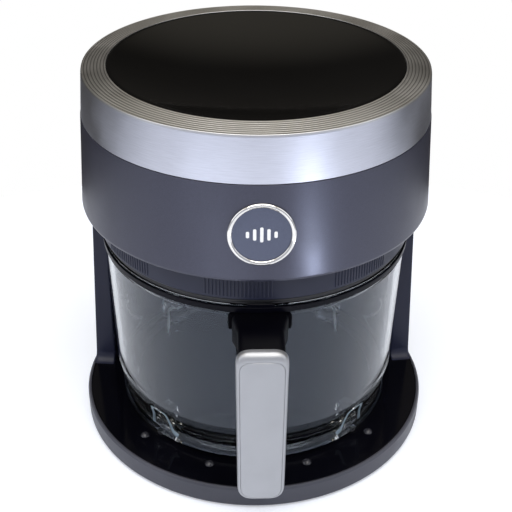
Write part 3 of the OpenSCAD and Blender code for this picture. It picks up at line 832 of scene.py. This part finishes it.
def ridge(points, width):
    """A low bead along the heel, through points given as turn, rise and relative width."""
    last = len(points) - 1
    bend_r, least_step = 3.0, 0.05
    bends = fillet([(turn, rise) if i in (0, last) else (turn, rise, bend_r)
                    for i, (turn, rise, _) in enumerate(points)], 6)
    smooth = [bends[0]] + [b for a, b in zip(bends, bends[1:])
                           if math.dist(a[:2], b[:2]) > least_step]
    smooth = [tuple(point[:2]) for point in smooth]
    rings = []
    for i, (turn, rise) in enumerate(smooth):
        after = smooth[min(i + 1, len(smooth) - 1)]
        before = smooth[max(i - 1, 0)]
        run, climb = (after[0] - before[0]) * DEGREE_RUN, after[1] - before[1]
        length = math.hypot(run, climb)
        along = i / (len(smooth) - 1) * last
        k = min(int(along), last - 1)
        share = points[k][2] + (points[k + 1][2] - points[k][2]) * (along - k)
        ring = []
        for j in range(BEAD_SIDES):
            a = TURN * j / BEAD_SIDES
            side = math.cos(a) * width * share / 2
            place_turn = math.radians(turn + side * climb / length / DEGREE_RUN)
            place_rise = rise - side * run / length
            r = heel_wall_radius(place_rise) - 0.3 * math.sin(a)
            ring.append((place_turn, r, place_rise))
        rings.append(ring)
    return rings


def build_lug_ridges(floor):
    """The pale beads that edge each of the four lugs inside the heel, partly a painted highlight, and
    the two floor beads, painted highlights.
    """
    beads = [
        ridge([(47.2, 19.0, 1.0), (47.2, 11.0, 0.9), (47.6, 2.6, 1.0)], 0.9),
        ridge([(46.3, 19.0, 1.0), (46.3, 11.0, 0.9), (46.7, 2.6, 1.0)], 0.9),
        ridge([(46.6, 19.0, 0.8), (43.0, 19.0, 0.6), (39.6, 19.2, 0.8)], 0.8),
        ridge([(40.4, 19.2, 0.8), (39.0, 17.6, 1.1), (37.9, 10.0, 1.3), (36.3, 3.2, 1.8),
               (33.9, 1.0, 2.6)], 1.8),
    ]
    parts = []
    for middle, side in ((0, 1), (0, -1), (math.pi, 1), (math.pi, -1)):
        for rings in beads:
            lug = [[from_front(r, middle + side * turn, floor + rise) for turn, r, rise in ring]
                   for ring in rings]
            parts.append(loft(lug if side > 0 else lug[::-1]))
    # The lug beads: real edges of the lugs, drawn pale as a painted highlight.
    piece("bowl_lug_ridges", join(parts), "bowl", "ridge_glass")
    # Two pale opaque beads on the bowl's floor: painted highlights.
    glints = [loft(bead([(side * x, y, z) for x, y, z in GLINT], 1.1)) for side in (1, -1)]
    piece("bowl_lug_glints", join(glints), "bowl", "glint_glass")


def bead(points, radius):
    """A round bead through points in millimetres, thinner at its ends."""
    path = [Vector(point) for point in points]
    rings = []
    for i, centre in enumerate(path):
        along = (path[min(i + 1, len(path) - 1)] - path[max(i - 1, 0)]).normalized()
        side = along.cross(Vector((0, 0, 1))).normalized()
        top = side.cross(along)
        thin = 0.5 if i in (0, len(path) - 1) else 1.0
        turns = [TURN * j / BEAD_SIDES for j in range(BEAD_SIDES)]
        rings.append([tuple((centre + (side * math.cos(a) + top * math.sin(a)) * radius * thin) * MM)
                      for a in turns])
    return rings


def merged(verts, faces):
    """The same skin with the points that meet on the axis made one."""
    seen, order, index = {}, [], []
    for v in verts:
        key = tuple(round(n, 7) for n in v)
        if key not in seen:
            seen[key] = len(order)
            order.append(v)
        index.append(seen[key])
    kept = []
    for face in faces:
        mapped = [index[v] for v in face]
        mapped = [v for n, v in enumerate(mapped) if v not in mapped[:n]]
        if len(mapped) > 2:
            kept.append(mapped)
    return order, kept


# ---------------------------------------------------------------- handle

def rounded_rect(half_w, half_t, radius, steps=5):
    """A rectangle's outline with round corners, about the origin."""
    corners = [(-half_w, -half_t, radius), (half_w, -half_t, radius),
               (half_w, half_t, radius), (-half_w, half_t, radius)]
    return fillet(corners, steps)


def build_handle():
    """The black core: a neck from the bracket that turns down into the grip."""
    start_y, top = core_high.y, min(core_high.z, grip_top)
    front, low = core_low.y, core_low.z + 6 * MM
    grip_t = 19.5 * MM
    grip_y = front + grip_t / 2
    half_w = (core_high.x - core_low.x) / 2
    turn_r = 17 * MM
    neck_t = 27 * MM
    neck_steps, bend_steps, grip_steps = 4, 8, 6
    path = []  # each stop's y, z, lean, thickness and half width
    for i in range(neck_steps + 1):
        t = i / neck_steps
        y = start_y + (grip_y + turn_r - start_y) * t
        thick = neck_t - (neck_t - grip_t - 2 * MM) * t
        path.append((y, top - thick / 2, 0.0, thick, half_w * (1.2 - 0.22 * t)))
    centre_z = path[-1][1] - turn_r
    for i in range(1, bend_steps + 1):
        a = i / bend_steps * math.pi / 2
        thick = grip_t + 2 * MM * (1 - i / bend_steps)
        path.append((grip_y + turn_r - turn_r * math.sin(a), centre_z + turn_r * math.cos(a), a,
                     thick, half_w * 0.98))
    for i in range(1, grip_steps + 1):
        t = i / grip_steps
        z = centre_z + (low - centre_z) * t
        path.append((grip_y, z, math.pi / 2, grip_t, half_w * (0.98 - 0.06 * t)))
    for drop, shrink in ((2.6, 0.93), (4.6, 0.8), (5.7, 0.6)):
        path.append((grip_y, low - drop * MM, math.pi / 2, grip_t * shrink,
                     half_w * 0.92 * (shrink + 0.04)))
    rings = []
    for y, z, a, thick, half in path:
        ring = []
        for across, out in rounded_rect(half, thick / 2, 5.5 * MM):
            ring.append((across, y - out * math.sin(a), z + out * math.cos(a)))
        rings.append(ring)
    piece("handle_body", loft(rings), "bowl", "handle_black", "handle_core")


def glass_radius(z):
    """The outside of the bowl's wall at a height."""
    low, low_r = bowl_z + HEEL_RISE * MM, HEEL_R * MM
    return low_r + (bowl_rim_r - low_r) * (z - low) / (glass_rim - low)


def build_bracket():
    """The curved plate that lies on the glass, with an ear at each side near its top."""
    half_w = (bracket_high.x - bracket_low.x) / 2
    low, top = bracket_low.z, min(bracket_high.z, glass_rim - 6.2 * MM)
    body, ear = half_w - 2.5 * MM, half_w + 3.2 * MM
    ear_low, ear_top = top - 13 * MM, top - 1.5 * MM
    side = [(body, low, 4 * MM), (body, ear_low), (ear, ear_low, 1 * MM), (ear, ear_top, 6 * MM),
            (body, top, 2 * MM)]
    mirrored = [(-c[0], *c[1:]) for c in reversed(side)]
    outline = fillet(side + mirrored, 5)
    rings = []
    for proud, shrink in ((0.12, 1.0), (2.2, 1.0), (3.0, 0.97)):
        ring = []
        for x, z in outline:
            r = glass_radius(z) + proud * MM
            ring.append((x * shrink, -math.sqrt(r * r - x * x), z))
        rings.append(ring)
    piece("bracket_plate", loft(rings), "bowl", "handle_black", "handle_bracket")


def build_rim_band():
    """The dark band round the bowl's rim, with a raised tab over the handle."""
    low, top = glass_rim / MM - 5.9, glass_rim / MM - 1.4
    gap, proud = 0.1, 1.45
    wall = [(glass_radius(z * MM) / MM + out, z)
            for z, out in ((low, gap), (low, proud), (top, proud), (top, gap))]
    band = [(*wall[0], 0.1), (*wall[1], 0.5), (*wall[2], 0.5), (*wall[3], 0.1)]
    steps, half, tab_top, inset = 12, math.radians(4.9), glass_rim / MM + 1.4, 0.3
    r_in, r_out = wall[3][0] + inset, wall[2][0] - inset
    rings = []
    for i in range(steps + 1):
        a = -half + 2 * half * i / steps
        tip = tab_top - (1.0 if i in (0, steps) else 0.0)
        ring = [(r_in, top - 1), (r_out, top - 1), (r_out, tip - 0.3), (r_out - 0.3, tip), (r_in, tip)]
        rings.append([from_front(r, a, z) for r, z in ring])
    piece("bowl_rim_band", join([lathe(fillet(scaled(band), 3)), loft(rings)]), "bowl", "band_black",
          "rim_band")


def build_cover():
    """The silver grip cover: a shallow tray over the front of the core, with a fine groove."""
    front = cover_low.y
    back = front + 7.4 * MM
    low, top = cover_low.z, min(cover_high.z, grip_top)
    half_w = (cover_high.x - cover_low.x) / 2
    corner, crown = 10.5 * MM, 0.9 * MM

    def ring(inset, y, bow=0.0, shrink=1.0):
        """An outline of the tray: it draws in more at the top than at the sides."""
        half_h = (top - low) / 2 - 0.85 * inset
        middle = (top + low) / 2 - 0.4 * inset
        points = []
        for x, z in rounded_rect(half_w - 0.5 * inset, half_h, max(corner - 0.3 * inset, 1.5 * MM), 8):
            height = middle + z * shrink
            x = x * shrink * (1 - 0.075 * (top - height) / (top - low))
            points.append((x, y + bow * crown * (x / half_w) ** 2, height))
        return points

    wall = 1.5 * MM
    inner = 2 * wall
    loops = [ring(inner + 9 * MM, front + wall + crown), ring(inner, front + wall + 3 * MM),
             ring(inner, back - 0.4 * MM), ring(inner - 0.3 * MM, back), ring(0.4 * MM, back),
             ring(0, back - 0.4 * MM)]
    edge, groove, edge_steps = 4.6 * MM, 0.35 * MM, 8
    for i in range(edge_steps + 1):
        t = i / edge_steps
        a = t * math.pi / 2
        loops.append(ring(edge * (1 - math.cos(a)), front + edge - edge * math.sin(a), t))
    loops += [ring(edge + groove, front + groove, 1), ring(edge + 2 * groove, front, 1)]
    loops += [ring(edge + 2 * groove, front, 1, shrink) for shrink in (0.9, 0.75, 0.55, 0.35, 0.15)]
    piece("grip_shell", loft(loops), "bowl", "grip_silver", "grip_cover")


# ---------------------------------------------------------------- carried CAD nodes

def dress_cad_nodes():
    """Gives every CAD node that still shows its own procedural material."""
    for name, obj in nodes.items():
        obj.data.materials.clear()
        obj.data.materials.append(looks[node_slot[name]])


# ---------------------------------------------------------------- studio

def build_floor():
    """A pale round floor, drawn a little brighter for the eye than for reflections."""
    look = Look("studio_floor", (0.79, 0.83, 0.93), 0.6, emission_color=(1, 1, 1, 1))
    look.tint(look.noise(3, 3), (0.77, 0.81, 0.91))
    look.bump(look.noise(160, 3), 0.02, 0.001)
    eye = look.node("ShaderNodeLightPath").outputs["Is Camera Ray"]
    look.tree.links.new(look.math("MULTIPLY", eye, 0.28), look.shader.inputs["Emission Strength"])
    radius, under = 0.75, -0.01
    disc = lathe([(0, 0), (radius, 0), (radius, under), (0, under)], 128)
    floor = raw_object("floor", placed(disc, Matrix.Translation((0, -0.35, 0))))
    floor.data.materials.append(look.material)


def area_light(name, where, target, size, power, tone=(1, 1, 1)):
    """A rectangular lamp aimed at a target, itself out of the camera's sight."""
    data = bpy.data.lights.new(name, "AREA")
    data.shape = "RECTANGLE"
    data.size, data.size_y = size
    data.energy = power
    data.color = tone
    lamp = bpy.data.objects.new(name, data)
    lamp.location = where
    lamp.rotation_euler = (Vector(target) - Vector(where)).to_track_quat("-Z", "Y").to_euler()
    lamp.visible_camera = False
    bpy.context.scene.collection.objects.link(lamp)
    return lamp


def build_world():
    """White for the eye. In light and reflections it is a room: grey in front, darker at the
    sides, nearly black behind, with a warm pale ceiling."""
    world = bpy.data.worlds.new("studio")
    bpy.context.scene.world = world
    world.use_nodes = True
    tree = world.node_tree
    background = tree.nodes["Background"]
    split = tree.nodes.new("ShaderNodeSeparateXYZ")
    tree.links.new(tree.nodes.new("ShaderNodeTexCoord").outputs["Generated"], split.inputs[0])

    def ramp(value, low, high, stops):
        shift = tree.nodes.new("ShaderNodeMapRange")
        shift.interpolation_type = "SMOOTHSTEP"
        shift.inputs["From Min"].default_value = low
        shift.inputs["From Max"].default_value = high
        tree.links.new(value, shift.inputs["Value"])
        return through_colors(tree, shift.outputs[0], stops)

    walls = ramp(split.outputs[1], -1, 1, [
        (0, (0.48, 0.50, 0.57)), (0.3, (0.53, 0.55, 0.61)), (0.5, (0.17, 0.18, 0.2)),
        (0.75, (0.04, 0.037, 0.033)), (1, (0.04, 0.037, 0.033)),
    ])
    high = ramp(split.outputs[2], 0.42, 0.86, [(0, (0, 0, 0)), (1, (1, 1, 1))])
    room = mixed(tree, high, walls, (0.66, 0.61, 0.51, 1))
    eye = tree.nodes.new("ShaderNodeLightPath").outputs["Is Camera Ray"]
    tree.links.new(mixed(tree, eye, room, (1, 1, 1, 1)), background.inputs["Color"])


# Low panels that streak the head, each as x, y, width, depth and radiance. They light only
# the head's pieces.
GLOWS = [(0.252, -0.44, 0.06, 0.11, 38), (0.335, -0.61, 0.08, 0.13, 0.4),
         (-0.14, -0.47, 0.2, 0.12, 1.6), (-0.36, -0.58, 0.3, 0.16, 1.2)]
GLOW_HEIGHT = 0.006
COOL, COLD = (0.92, 0.95, 1), (0.76, 0.84, 1)


def build_studio():
    """A floor, a world, three softboxes and the low glow panels."""
    build_floor()
    build_world()
    area_light("softbox_top", (0, -0.75, 2.1), (0, -0.1, 0), (2.4, 2.4), 48)
    area_light("softbox_left", (-2.0, -0.7, 1.2), (0, 0, 0.1), (1.6, 1.8), 10, COOL)
    area_light("softbox_right", (2.0, -0.6, 1.2), (0, 0, 0.1), (1.6, 1.8), 9, COOL)
    receivers = bpy.data.collections.new("glow_receivers")
    for name in ("head_casing", "crown_ring", "badge_face", "badge_bezel"):
        receivers.objects.link(bpy.data.objects[name])
    for i, (x, y, width, depth, radiance) in enumerate(GLOWS):
        power = radiance * math.pi * width * depth
        lamp = area_light(f"glow_{i}", (x, y, GLOW_HEIGHT), (x, y, 1), (width, depth), power, COLD)
        lamp.light_linking.receiver_collection = receivers


# ---------------------------------------------------------------- camera

def build_camera():
    """Looks down at the front from a little to its left, as the photograph does."""
    sensor, lens = 36, 73.758
    pitch, yaw, roll = math.radians(29.55), math.radians(1.95), math.radians(0.44)
    distance, height = 0.710, 0.574
    data = bpy.data.cameras.new("camera")
    data.sensor_width = sensor
    data.lens = lens
    data.shift_x = 0.0018
    data.shift_y = -0.080
    camera = bpy.data.objects.new("camera", data)
    camera.matrix_world = (
        Matrix.Translation((-distance * math.sin(yaw), -distance * math.cos(yaw), height))
        @ Matrix.Rotation(-yaw, 4, "Z")
        @ Matrix.Rotation(math.pi / 2 - pitch, 4, "X")
        @ Matrix.Rotation(roll, 4, "Z")
    )
    bpy.context.scene.collection.objects.link(camera)
    bpy.context.scene.camera = camera


build_camera()
dress_cad_nodes()
build_base()
build_head()
build_trim_ring()
build_panel()
build_badge()
build_column()
build_collar()
build_chamber_ring()
build_bowl()
build_handle()
build_bracket()
build_rim_band()
build_cover()
build_studio()
bpy.context.scene.view_settings.view_transform = "Standard"
